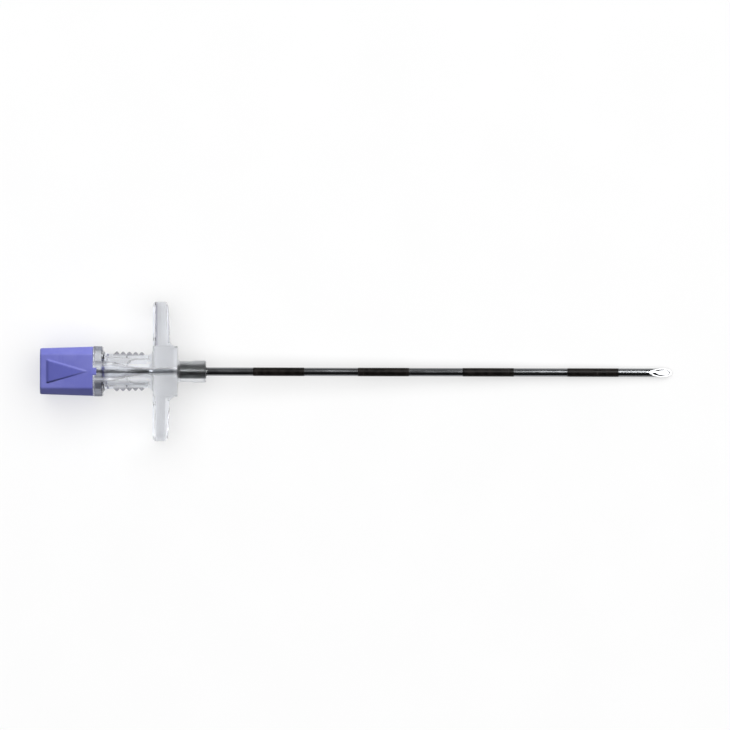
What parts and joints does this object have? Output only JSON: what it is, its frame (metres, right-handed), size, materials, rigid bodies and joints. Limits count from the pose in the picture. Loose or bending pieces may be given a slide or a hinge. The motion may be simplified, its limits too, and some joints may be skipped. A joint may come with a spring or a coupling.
{
  "type": "epidural needle",
  "caption": "Winged epidural needle: steel cannula with a curved bevelled point and dark depth marks, clear winged hub, and a stylet that draws out by its violet cap.",
  "frame": {"origin": "on the cannula's axis at the front face of the hub's nose, where the usable length starts", "axes": "+X along the cannula to the point, +Z to the side that the bevel opens to, which is the side of the cap's arrow and key"},
  "size_m": [0.1205, 0.0266, 0.0095],
  "materials": {
    "cannula_steel": "drawn and electropolished",
    "stylet_steel": "drawn, bright",
    "clear_resin": "clear, glossy",
    "clear_plastic": "clear moulded, glossy",
    "violet_plastic": "satin moulded",
    "black_coat": "baked satin coat"
  },
  "bodies": {
    "needle": {"hub": "clear_plastic", "cannula": "cannula_steel", "bond_resin": "clear_resin", "depth_mark_1": "black_coat", "depth_mark_2": "black_coat", "depth_mark_3": "black_coat", "depth_mark_4": "black_coat"},
    "stylet": {"stylet_cap": "violet_plastic", "stylet_wire": "stylet_steel"}
  },
  "joints": [
    {"name": "stylet_slide", "type": "slide", "parent": "needle", "child": "stylet", "axis": [-1, 0, 0], "range_m": [0, 0.12]}
  ]
}
